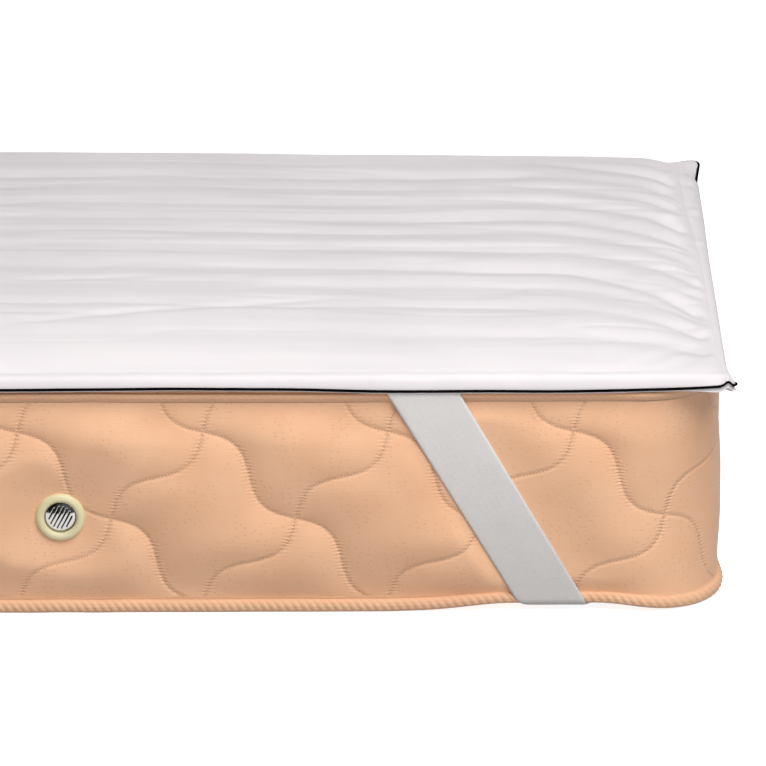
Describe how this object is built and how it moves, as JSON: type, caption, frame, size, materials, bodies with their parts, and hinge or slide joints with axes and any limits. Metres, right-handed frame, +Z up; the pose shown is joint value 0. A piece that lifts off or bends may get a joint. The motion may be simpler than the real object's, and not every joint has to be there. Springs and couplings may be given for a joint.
{
  "type": "mattress topper on a mattress",
  "caption": "Filled white mattress topper with a piped rim and elastic corner straps, lying on the single mattress that it fits.",
  "frame": {"origin": "middle of the footprint, on the floor that the mattress lies on", "axes": "+X along the length, +Y across the width away from the front long side, +Z up"},
  "size_m": [1.929, 0.729, 0.2604],
  "materials": {
    "cotton": "soft white woven cotton, matte",
    "piping": "black woven piping, matte",
    "elastic": "light grey ribbed elastic, matte",
    "ticking": "tan quilted knit, matte",
    "tape": "tan ribbed tape, matte",
    "ring": "cream moulded plastic, satin",
    "disc": "bright plated metal, polished"
  },
  "bodies": {
    "root": {"topper": "cotton", "piping": "piping", "strap_front_right": "elastic", "strap_front_left": "elastic", "strap_back_right": "elastic", "strap_back_left": "elastic", "mattress": "ticking", "tape_edge_top": "tape", "tape_edge_bottom": "tape", "vent_ring_front_right": "ring", "vent_ring_front_left": "ring", "vent_ring_back_right": "ring", "vent_ring_back_left": "ring", "vent_disc_front_right": "disc", "vent_disc_front_left": "disc", "vent_disc_back_right": "disc", "vent_disc_back_left": "disc"}
  },
  "joints": []
}
